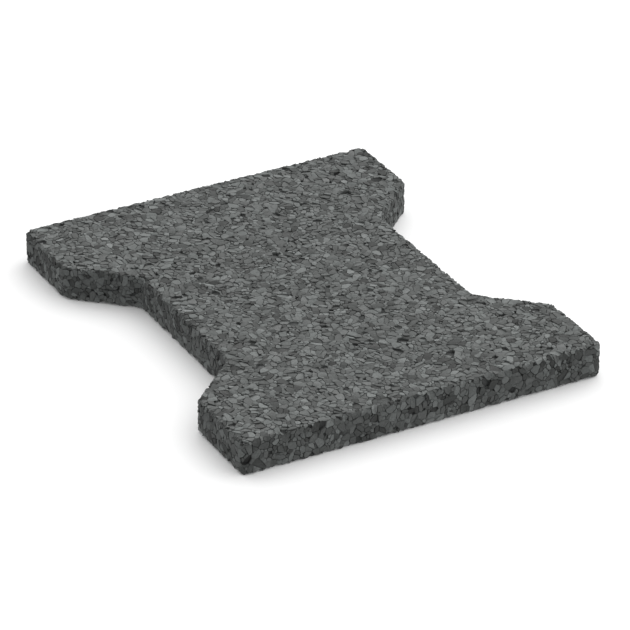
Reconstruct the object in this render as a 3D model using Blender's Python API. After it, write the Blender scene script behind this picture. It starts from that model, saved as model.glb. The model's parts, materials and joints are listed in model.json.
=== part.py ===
"""Dog-bone rubber floor tile, a flat double-T block moulded from bound rubber granulate.

One solid piece. Two wide heads are joined by a narrower waist, and four slanting
shoulders run between them. When tiles are laid in rows that are offset by half a
length, the heads of two tiles meet end to end in the waist of the tile beside them.
Units are metres, +Z is up. The origin is at the middle of the underside, the length
runs along Y and the heads are widest along X.
"""

import math

import bmesh
import bpy

LENGTH = 0.200
HEAD_WIDTH = 0.1645
WAIST_WIDTH = 0.1145
HEAD_SIDE = 0.0385
SHOULDER_LENGTH = 0.023
THICKNESS = 0.015
CORNER_RADIUS = 0.003
CORNER_SEGMENTS = 4
RIM_RADIUS = 0.0012
RIM_SEGMENTS = 4
SMOOTH_ANGLE = math.radians(35)

RUBBER_COLOUR = (0.095, 0.098, 0.096, 1.0)
RUBBER_ROUGHNESS = 0.95


def clear_scene():
    for thing in list(bpy.data.objects):
        bpy.data.objects.remove(thing, do_unlink=True)


def granulate_rubber():
    """Dark grey rubber crumb bound in a mould, dull and without metallic shine."""
    material = bpy.data.materials.new("granulate_rubber")
    material.use_nodes = True
    shader = material.node_tree.nodes["Principled BSDF"]
    shader.inputs["Base Color"].default_value = RUBBER_COLOUR
    shader.inputs["Roughness"].default_value = RUBBER_ROUGHNESS
    shader.inputs["Metallic"].default_value = 0.0
    return material


def plan_corners():
    """The sharp corners of the double-T plan, anticlockwise seen from above."""
    end = LENGTH / 2
    head = HEAD_WIDTH / 2
    waist = WAIST_WIDTH / 2
    head_foot = end - HEAD_SIDE
    waist_end = head_foot - SHOULDER_LENGTH
    right_side = [
        (head, -end),
        (head, -head_foot),
        (waist, -waist_end),
        (waist, waist_end),
        (head, head_foot),
        (head, end),
    ]
    left_side = [(-x, -y) for x, y in right_side]
    return right_side + left_side


def upright_edges(mesh):
    """The edges that stand on the underside and reach the top face."""
    return [
        edge
        for edge in mesh.edges
        if abs(edge.verts[0].co.z - edge.verts[1].co.z) > THICKNESS / 2
    ]


def round_uprights(mesh, edges, turn):
    """Rounds corners that turn by one angle, so that every corner has the same radius."""
    bmesh.ops.bevel(
        mesh,
        geom=edges,
        offset=CORNER_RADIUS * math.tan(turn / 2),
        offset_type="OFFSET",
        affect="EDGES",
        segments=CORNER_SEGMENTS,
        profile=0.5,
        material=-1,
    )


def stands_at_end(edge):
    """True for an upright on a corner of the tile's ends, not on a shoulder."""
    return abs(edge.verts[0].co.y) > LENGTH / 2 - HEAD_SIDE / 2


def round_plan_corners(mesh):
    """The heads' end corners turn by 90 degrees, and the shoulders' corners by less."""
    shoulder_turn = math.atan2((HEAD_WIDTH - WAIST_WIDTH) / 2, SHOULDER_LENGTH)
    shoulder_uprights = [
        edge for edge in upright_edges(mesh) if not stands_at_end(edge)
    ]
    round_uprights(mesh, shoulder_uprights, shoulder_turn)
    end_uprights = [edge for edge in upright_edges(mesh) if stands_at_end(edge)]
    round_uprights(mesh, end_uprights, math.pi / 2)


def round_top_rim(mesh):
    """The mould rounds the edge between the top face and the walls."""
    rim = [
        edge
        for edge in mesh.edges
        if all(vertex.co.z > THICKNESS / 2 for vertex in edge.verts)
    ]
    bmesh.ops.bevel(
        mesh,
        geom=rim,
        offset=RIM_RADIUS,
        offset_type="OFFSET",
        affect="EDGES",
        segments=RIM_SEGMENTS,
        profile=0.5,
        material=-1,
    )


def floor_tile(material):
    shape = bmesh.new()
    underside = shape.faces.new(
        [shape.verts.new((x, y, 0.0)) for x, y in plan_corners()]
    )
    raised = bmesh.ops.extrude_face_region(shape, geom=[underside])
    top_corners = [
        item for item in raised["geom"] if isinstance(item, bmesh.types.BMVert)
    ]
    bmesh.ops.translate(shape, verts=top_corners, vec=(0.0, 0.0, THICKNESS))
    bmesh.ops.recalc_face_normals(shape, faces=shape.faces)
    round_plan_corners(shape)
    round_top_rim(shape)
    bmesh.ops.recalc_face_normals(shape, faces=shape.faces)

    mesh = bpy.data.meshes.new("floor_tile")
    shape.to_mesh(mesh)
    shape.free()
    mesh.shade_smooth()
    mesh.set_sharp_from_angle(angle=SMOOTH_ANGLE)
    mesh.materials.append(material)
    tile = bpy.data.objects.new("floor_tile", mesh)
    bpy.context.scene.collection.objects.link(tile)
    return tile


clear_scene()
floor_tile(granulate_rubber())
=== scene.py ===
import json
import math
import random

import bmesh
import bpy
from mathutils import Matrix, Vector
from mathutils.bvhtree import BVHTree

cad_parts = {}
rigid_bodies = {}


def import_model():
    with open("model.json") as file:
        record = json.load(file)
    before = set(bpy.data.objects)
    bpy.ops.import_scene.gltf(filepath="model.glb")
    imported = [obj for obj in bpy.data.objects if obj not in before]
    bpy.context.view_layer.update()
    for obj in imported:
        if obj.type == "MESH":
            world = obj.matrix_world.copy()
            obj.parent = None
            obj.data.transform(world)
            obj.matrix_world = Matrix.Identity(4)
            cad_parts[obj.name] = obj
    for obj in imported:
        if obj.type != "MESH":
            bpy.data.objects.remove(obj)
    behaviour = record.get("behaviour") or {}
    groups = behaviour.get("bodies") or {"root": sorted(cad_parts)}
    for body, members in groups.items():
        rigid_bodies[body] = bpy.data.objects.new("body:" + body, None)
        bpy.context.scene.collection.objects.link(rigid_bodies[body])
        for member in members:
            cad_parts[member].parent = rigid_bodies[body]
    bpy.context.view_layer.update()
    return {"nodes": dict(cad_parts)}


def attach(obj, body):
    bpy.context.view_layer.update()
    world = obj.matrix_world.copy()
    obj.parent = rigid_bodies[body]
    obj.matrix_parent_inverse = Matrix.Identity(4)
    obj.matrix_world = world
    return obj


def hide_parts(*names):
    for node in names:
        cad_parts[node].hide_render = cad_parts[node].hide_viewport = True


for thing in list(bpy.data.objects):
    bpy.data.objects.remove(thing, do_unlink=True)
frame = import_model()


# The camera
# The tile is seen from the angle of the photograph, through the same long lens, from a
# distance at which it fills most of the picture's width.
VIEW_AZIMUTH = math.radians(-28.47)
VIEW_ELEVATION = math.radians(29.37)
SENSOR_WIDTH_MM = 36.0
LENS_MM = 235.6
CAMERA_DISTANCE = 1.71
AIM_POINT = Vector((0.0022, -0.0037, 0.0021))

camera_data = bpy.data.cameras.new("camera")
camera_data.sensor_width = SENSOR_WIDTH_MM
camera_data.lens = LENS_MM
camera_data.clip_start = 0.05
camera_data.clip_end = 50.0
camera = bpy.data.objects.new("camera", camera_data)
bpy.context.scene.collection.objects.link(camera)
towards_camera = Vector(
    (
        math.sin(VIEW_AZIMUTH) * math.cos(VIEW_ELEVATION),
        -math.cos(VIEW_AZIMUTH) * math.cos(VIEW_ELEVATION),
        math.sin(VIEW_ELEVATION),
    )
)
camera.location = AIM_POINT + towards_camera * CAMERA_DISTANCE
camera.rotation_mode = "QUATERNION"
camera.rotation_quaternion = (-towards_camera).to_track_quat("-Z", "Y")
bpy.context.scene.camera = camera


# The block of bound granulate
# The whole tile is one block. Rubber crumb of about 1 to 5 mm is wetted with a clear
# binder and pressed in a mould, so the crumbs lie flat against the mould's walls, some
# a little lower or more tilted than others, with fine dark gaps and pits between them.
# Lengths are in metres.
SAME_POINT = 0.00001
UPRIGHT_BELOW = 0.5
CRUMB_SEED = 11
CRUMB_PITCH = 0.00165
CRUMB_WANDER = 0.48
JOINED_SHARES = (0.30, 0.22)
SHORTEST_EDGE = 0.0006
CRUMB_DROP = 0.00040
CRUMB_TILT = 0.25
CRUMB_CROWN = 0.00016
GAP_DEPTH = 0.0012
SHALLOWEST_GAP = 0.15
GAP_HALF_WIDTH = 0.00020
GAP_SHARE_OF_CRUMB = 0.30
GAP_WIDTH_CLASSES = 6
NARROWEST_CLASS = 0.5
PIT_SHARE = 0.02
PIT_SHARE_OF_SMALL = 0.32
SMALL_CRUMB = 0.00045
PIT_DROP = 0.0010
SHALLOWEST_PIT = 0.5
# The next value sets how much painted shade darkens a pit: the share of the crumb's own grey that
# still shows.
PIT_UNSHADED_SHARE = 0.3
UNDERSIDE_REACH = 0.0012
UNDERSIDE_GAP_SHARE = 0.3
UNTANGLING_ROUNDS = 8
EVENING_FACTOR = 0.5
# The crumbs' greys differ at random: partly their own tone, partly painted sheen for the glint of
# facets tilted differently to the light.
CRUMB_GREYS_AND_SHEEN = ((0.0, "393a39"), (0.15, "464847"), (0.5, "575958"), (0.85, "616463"), (1.0, "6e7170"))
# The next grey is painted shade, mixed into the crumbs down in the gaps and pits.
GAP_PAINTED_SHADE_GREY = "1e1f1f"
CRUMB_ROUGHNESS = (0.6, 0.95)
RUBBER_IOR = 1.5
RUBBER_SPECULAR = 0.25
TORN_SKIN_GRAIN = 0.0007
TORN_SKIN_SHADE = 0.80
TORN_SKIN_RELIEF = 0.00008

crumb_random = random.Random(CRUMB_SEED)

# The faces of the tile's solid are the walls of the mould.
mould = bmesh.new()
mould.from_mesh(frame["nodes"]["floor_tile"].data)
bmesh.ops.remove_doubles(mould, verts=mould.verts, dist=SAME_POINT)
walls = BVHTree.FromBMesh(mould)


def skin_after(skin, name, set_up_modifier):
    """Runs one modifier over a skin and gives back the result as a new skin."""
    mesh = bpy.data.meshes.new(name)
    skin.to_mesh(mesh)
    skin.free()
    carrier = bpy.data.objects.new(name, mesh)
    bpy.context.scene.collection.objects.link(carrier)
    set_up_modifier(carrier)
    result = bmesh.new()
    result.from_object(carrier, bpy.context.evaluated_depsgraph_get())
    bpy.data.objects.remove(carrier)
    return result


def grid_over_mould(carrier):
    """An even grid of points all over the walls, as far apart as the crumbs are."""
    remesh = carrier.modifiers.new("grid", "REMESH")
    remesh.mode = "VOXEL"
    remesh.voxel_size = CRUMB_PITCH


def crumb_round_each_point(carrier):
    """Each point becomes the middle of one many-sided face, the outline of a crumb."""
    group = bpy.data.node_groups.new("crumb_outlines", "GeometryNodeTree")
    for in_out in ("INPUT", "OUTPUT"):
        group.interface.new_socket(name="Mesh", in_out=in_out, socket_type="NodeSocketGeometry")
    points = group.nodes.new("NodeGroupInput")
    outlines = group.nodes.new("GeometryNodeDualMesh")
    crumbs_out = group.nodes.new("NodeGroupOutput")
    group.links.new(points.outputs["Mesh"], outlines.inputs["Mesh"])
    group.links.new(outlines.outputs["Dual Mesh"], crumbs_out.inputs["Mesh"])
    carrier.modifiers.new("crumb_outlines", "NODES").node_group = group


def random_offset(length):
    return Vector([crumb_random.uniform(-1.0, 1.0) for _ in range(3)]) * length


def scatter(skin):
    """Moves the grid's points about on the walls, so that the crumbs stand in no rows."""
    for point in skin.verts:
        moved = point.co + random_offset(CRUMB_WANDER * CRUMB_PITCH)
        point.co = walls.find_nearest(moved)[0]
    bmesh.ops.triangulate(skin, faces=skin.faces)
    bmesh.ops.beautify_fill(skin, faces=skin.faces, edges=skin.edges)


def face_across(edge, face):
    return next(other for other in edge.link_faces if other is not face)


def join_pairs(skin, share):
    """Joins some crumbs with a neighbour, for larger crumbs of less even shape."""
    taken = set()
    joints = []
    for face in skin.faces:
        if face in taken or crumb_random.random() > share:
            continue
        neighbours = [face_across(edge, face) for edge in face.edges]
        free_edges = [
            edge
            for edge, other in zip(face.edges, neighbours)
            if other not in taken and neighbours.count(other) == 1
        ]
        if free_edges:
            joint = max(free_edges, key=lambda edge: edge.calc_length())
            taken.update((face, face_across(joint, face)))
            joints.append(joint)
    bmesh.ops.dissolve_edges(skin, edges=joints, use_verts=True)


def lies_under(face):
    return face.calc_center_median().z < UNDERSIDE_REACH


def half_breadth(face):
    """About the radius of the largest circle that fits in a crumb's outline."""
    return 2 * face.calc_area() / face.calc_perimeter()


def behind_wall(place, depth):
    """The point of the mould's walls nearest to a place, moved back into the block.

    A gap in an upright wall gets shallower towards the foot, where the underside is near.
    """
    on_wall, outward, _, _ = walls.find_nearest(place)
    if abs(outward.z) < UPRIGHT_BELOW:
        depth = min(depth, on_wall.z)
    return on_wall - outward * max(depth, 0.0)


def depth_of(place):
    """How far a place lies behind the mould's walls."""
    on_wall, outward, _, _ = walls.find_nearest(place)
    return (on_wall - place).dot(outward)


def draw_in(skin, faces):
    """Draws each crumb in from its outline, in a few steps and less where it is small."""
    step = GAP_HALF_WIDTH / GAP_SHARE_OF_CRUMB / GAP_WIDTH_CLASSES
    classes = {}
    for face in faces:
        width_class = min(int(half_breadth(face) / step), GAP_WIDTH_CLASSES)
        classes.setdefault(width_class, []).append(face)
    for width_class, alike in sorted(classes.items()):
        thickness = max(width_class, NARROWEST_CLASS) * step * GAP_SHARE_OF_CRUMB
        bmesh.ops.inset_individual(skin, faces=alike, thickness=thickness, depth=0.0)


def crown(skin, faces):
    """Swells the middle of each crumb a little towards the wall."""
    middles = bmesh.ops.poke(skin, faces=faces, offset=0.0, center_mode="MEAN_WEIGHTED")["verts"]
    for point in middles:
        swelling = CRUMB_CROWN * crumb_random.random()
        point.co = behind_wall(point.co, depth_of(point.co) - swelling)
    return middles


def crossing_faces(skin):
    """The faces that cut through another one."""
    skin.faces.index_update()
    skin.faces.ensure_lookup_table()
    tree = BVHTree.FromBMesh(skin)
    crossing = {index for pair in tree.overlap(tree) if pair[0] != pair[1] for index in pair}
    return [skin.faces[index] for index in sorted(crossing)]


def untangle(skin):
    """Evens out the few narrow corners where drawn-in crumbs cut through each other."""
    for _ in range(UNTANGLING_ROUNDS):
        tangled = {point for face in crossing_faces(skin) for point in face.verts}
        if not tangled:
            break
        bmesh.ops.smooth_vert(
            skin,
            verts=list(tangled),
            factor=EVENING_FACTOR,
            use_axis_x=True,
            use_axis_y=True,
            use_axis_z=True,
        )
        for point in tangled:
            point.co = behind_wall(point.co, depth_of(point.co))


grid = skin_after(mould, "mould_grid", grid_over_mould)
scatter(grid)
block = skin_after(grid, "crumb_outlines", crumb_round_each_point)
bmesh.ops.recalc_face_normals(block, faces=block.faces)
for share in JOINED_SHARES:
    join_pairs(block, share)
bmesh.ops.remove_doubles(block, verts=block.verts, dist=SHORTEST_EDGE)

# Every crumb has its own grey and its own dullness; the grey is partly painted sheen, and painted
# shade darkens it down in the gaps.
tone_and_sheen = block.faces.layers.float.new("crumb_tone_and_sheen")
dullness = block.faces.layers.float.new("crumb_dullness")
# This layer carries painted shade: 1 shows the crumb's own grey, less mixes in the dark gap grey.
unshaded_share = block.verts.layers.float.new("crumb_unshaded_share")
for face in block.faces:
    # A random grey for each crumb, partly its own tone and partly painted sheen for how its facets
    # catch the light.
    face[tone_and_sheen] = crumb_random.random()
    face[dullness] = crumb_random.random()
under_crumbs = [face for face in block.faces if lies_under(face)]
crumbs = [face for face in block.faces if not lies_under(face)]
under_points = {point for point in block.verts if all(map(lies_under, point.link_faces))}

# The outlines lie in the gaps, a few deep and most of them almost closed, and the deeper a gap is,
# the darker its painted shade. The tile was pressed flat on its underside, so the gaps are shallower
# there.
for point in block.verts:
    depth = SHALLOWEST_GAP + (1.0 - SHALLOWEST_GAP) * crumb_random.random() ** 2
    point[unshaded_share] = 1.0 - depth
    if point in under_points:
        depth *= UNDERSIDE_GAP_SHARE
    point.co = behind_wall(point.co, depth * GAP_DEPTH)
draw_in(block, crumbs)

# Each crumb lies against the wall, lower on one side than on the other. Where one is
# missing, most often a small one, there is a pit, which is painted dark with shade.
for face in crumbs:
    middle = face.calc_center_median()
    tilt = random_offset(CRUMB_TILT)
    drop = CRUMB_DROP * crumb_random.random() ** 2
    face_unshaded_share = 1.0
    pit_share = PIT_SHARE_OF_SMALL if half_breadth(face) < SMALL_CRUMB else PIT_SHARE
    if crumb_random.random() < pit_share:
        drop = PIT_DROP * crumb_random.uniform(SHALLOWEST_PIT, 1.0)
        face_unshaded_share = PIT_UNSHADED_SHARE
    for point in face.verts:
        point.co = behind_wall(point.co, drop + tilt.dot(point.co - middle))
        point[unshaded_share] = face_unshaded_share
crown(block, crumbs)
# On the underside the painted gap shade fades out towards each crumb's middle.
for point in crown(block, under_crumbs):
    point[unshaded_share] = 1.0
bmesh.ops.triangulate(block, faces=block.faces)
untangle(block)
for face in block.faces:
    face.smooth = False

block_mesh = bpy.data.meshes.new("granulate_block")
block.to_mesh(block_mesh)
block.free()
granulate_block = bpy.data.objects.new("granulate_block", block_mesh)
bpy.context.scene.collection.objects.link(granulate_block)


def linear(hex_colour):
    """An sRGB colour written as hex, as the linear values that a shader takes."""
    parts = [int(hex_colour[i : i + 2], 16) / 255 for i in (0, 2, 4)]
    return [c / 12.92 if c <= 0.04045 else ((c + 0.055) / 1.055) ** 2.4 for c in parts] + [1.0]


def add_node(tree, kind, settings=None, values=None, links=None):
    """Adds one node with its settings, socket values and incoming links."""
    made = tree.nodes.new(kind)
    for name, value in (settings or {}).items():
        setattr(made, name, value)
    for name, value in (values or {}).items():
        made.inputs[name].default_value = value
    for name, source in (links or {}).items():
        tree.links.new(source, made.inputs[name])
    return made


def pressed_rubber_crumb():
    """Torn rubber crumb, pressed and bound: matt, dark grey, a little uneven in tone, with painted
    sheen in the crumbs' greys and painted shade in the gaps and pits.

    The crumbs were torn from larger rubber, so their skin is rough and hardly shines.
    That skin is much finer than the picture shows, and is drawn coarser.
    """
    material = bpy.data.materials.new("pressed_rubber_crumb")
    material.use_nodes = True
    tree = material.node_tree
    shader = tree.nodes["Principled BSDF"]
    tone_and_sheen_value = add_node(tree, "ShaderNodeAttribute", {"attribute_name": "crumb_tone_and_sheen"})
    dullness_value = add_node(tree, "ShaderNodeAttribute", {"attribute_name": "crumb_dullness"})
    unshaded_share_value = add_node(tree, "ShaderNodeAttribute", {"attribute_name": "crumb_unshaded_share"})

    # Each crumb's grey, partly its own tone and partly painted sheen.
    crumb_grey_and_sheen = add_node(tree, "ShaderNodeValToRGB", links={"Fac": tone_and_sheen_value.outputs["Fac"]})
    stops = crumb_grey_and_sheen.color_ramp.elements
    for position, _ in CRUMB_GREYS_AND_SHEEN[1:-1]:
        stops.new(position)
    for stop, (_, grey) in zip(stops, CRUMB_GREYS_AND_SHEEN):
        stop.color = linear(grey)

    place = add_node(tree, "ShaderNodeTexCoord")
    torn_skin = add_node(
        tree,
        "ShaderNodeTexNoise",
        values={"Scale": 1 / TORN_SKIN_GRAIN, "Detail": 2.0, "Roughness": 0.6},
        links={"Vector": place.outputs["Object"]},
    )
    torn_shade = add_node(
        tree,
        "ShaderNodeMapRange",
        values={
            "From Min": 0.25,
            "From Max": 0.75,
            "To Min": TORN_SKIN_SHADE,
            "To Max": 2.0 - TORN_SKIN_SHADE,
        },
        links={"Value": torn_skin.outputs["Fac"]},
    )
    torn_grey = add_node(
        tree,
        "ShaderNodeVectorMath",
        {"operation": "SCALE"},
        links={0: crumb_grey_and_sheen.outputs["Color"], "Scale": torn_shade.outputs["Result"]},
    )
    # Painted shade: the grey is mixed towards a near-black grey down in the gaps and pits.
    grey_with_painted_gap_shade = add_node(
        tree,
        "ShaderNodeMix",
        {"data_type": "RGBA"},
        {"A": linear(GAP_PAINTED_SHADE_GREY)},
        {"B": torn_grey.outputs["Vector"], "Factor": unshaded_share_value.outputs["Fac"]},
    )
    tree.links.new(grey_with_painted_gap_shade.outputs["Result"], shader.inputs["Base Color"])

    roughness = add_node(
        tree,
        "ShaderNodeMapRange",
        values={"To Min": CRUMB_ROUGHNESS[0], "To Max": CRUMB_ROUGHNESS[1]},
        links={"Value": dullness_value.outputs["Fac"]},
    )
    tree.links.new(roughness.outputs["Result"], shader.inputs["Roughness"])
    shader.inputs["IOR"].default_value = RUBBER_IOR
    shader.inputs["Specular IOR Level"].default_value = RUBBER_SPECULAR

    relief = add_node(
        tree,
        "ShaderNodeBump",
        values={"Distance": TORN_SKIN_RELIEF},
        links={"Height": torn_skin.outputs["Fac"]},
    )
    tree.links.new(relief.outputs["Normal"], shader.inputs["Normal"])
    return material


block_mesh.materials.append(pressed_rubber_crumb())
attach(granulate_block, "root")
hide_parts("floor_tile")


# The floor and the light
# A plain white floor under a white sky of soft studio light, strongest from the back
# right, so that short shadows lie at the front and the left. What light the floor sends
# up is an even glow from below, and the walls in front are half as bright as the face.
FLOOR_SIZE = 40.0
FLOOR_WHITE = 0.92
SKY_STRENGTH = 1.33
SKY_LEAN = (1.00, 0.68, 0.0)
FLOOR_GLOW = 0.74
floor_mesh = bpy.data.meshes.new("studio_floor")
floor_shape = bmesh.new()
bmesh.ops.create_grid(floor_shape, x_segments=1, y_segments=1, size=FLOOR_SIZE / 2)
floor_shape.to_mesh(floor_mesh)
floor_shape.free()
studio_floor = bpy.data.objects.new("studio_floor", floor_mesh)
studio_floor.visible_diffuse = False
studio_floor.visible_glossy = False
bpy.context.scene.collection.objects.link(studio_floor)
floor_paint = bpy.data.materials.new("matt_white_floor")
floor_paint.use_nodes = True
floor_shader = floor_paint.node_tree.nodes["Principled BSDF"]
floor_shader.inputs["Base Color"].default_value = (FLOOR_WHITE, FLOOR_WHITE, FLOOR_WHITE, 1.0)
floor_shader.inputs["Roughness"].default_value = 1.0
floor_shader.inputs["Specular IOR Level"].default_value = 0.0
floor_mesh.materials.append(floor_paint)

world = bpy.data.worlds.new("studio_sky")
world.use_nodes = True
sky = world.node_tree
direction = add_node(sky, "ShaderNodeTexCoord")
parts = add_node(sky, "ShaderNodeSeparateXYZ", links={"Vector": direction.outputs["Generated"]})
above = add_node(
    sky, "ShaderNodeMath", {"operation": "GREATER_THAN"}, {1: 0.0}, {0: parts.outputs["Z"]}
)
lean = add_node(
    sky,
    "ShaderNodeVectorMath",
    {"operation": "DOT_PRODUCT"},
    {1: SKY_LEAN},
    {0: direction.outputs["Generated"]},
)
sky_level = add_node(
    sky, "ShaderNodeMath", {"operation": "ADD"}, {1: SKY_STRENGTH}, {0: lean.outputs["Value"]}
)
strength = add_node(
    sky,
    "ShaderNodeMapRange",
    values={"To Min": FLOOR_GLOW},
    links={"Value": above.outputs["Value"], "To Max": sky_level.outputs["Value"]},
)
sky.links.new(strength.outputs["Result"], sky.nodes["Background"].inputs["Strength"])
sky.nodes["Background"].inputs["Color"].default_value = (1.0, 1.0, 1.0, 1.0)
bpy.context.scene.world = world
bpy.context.scene.view_settings.view_transform = "Standard"
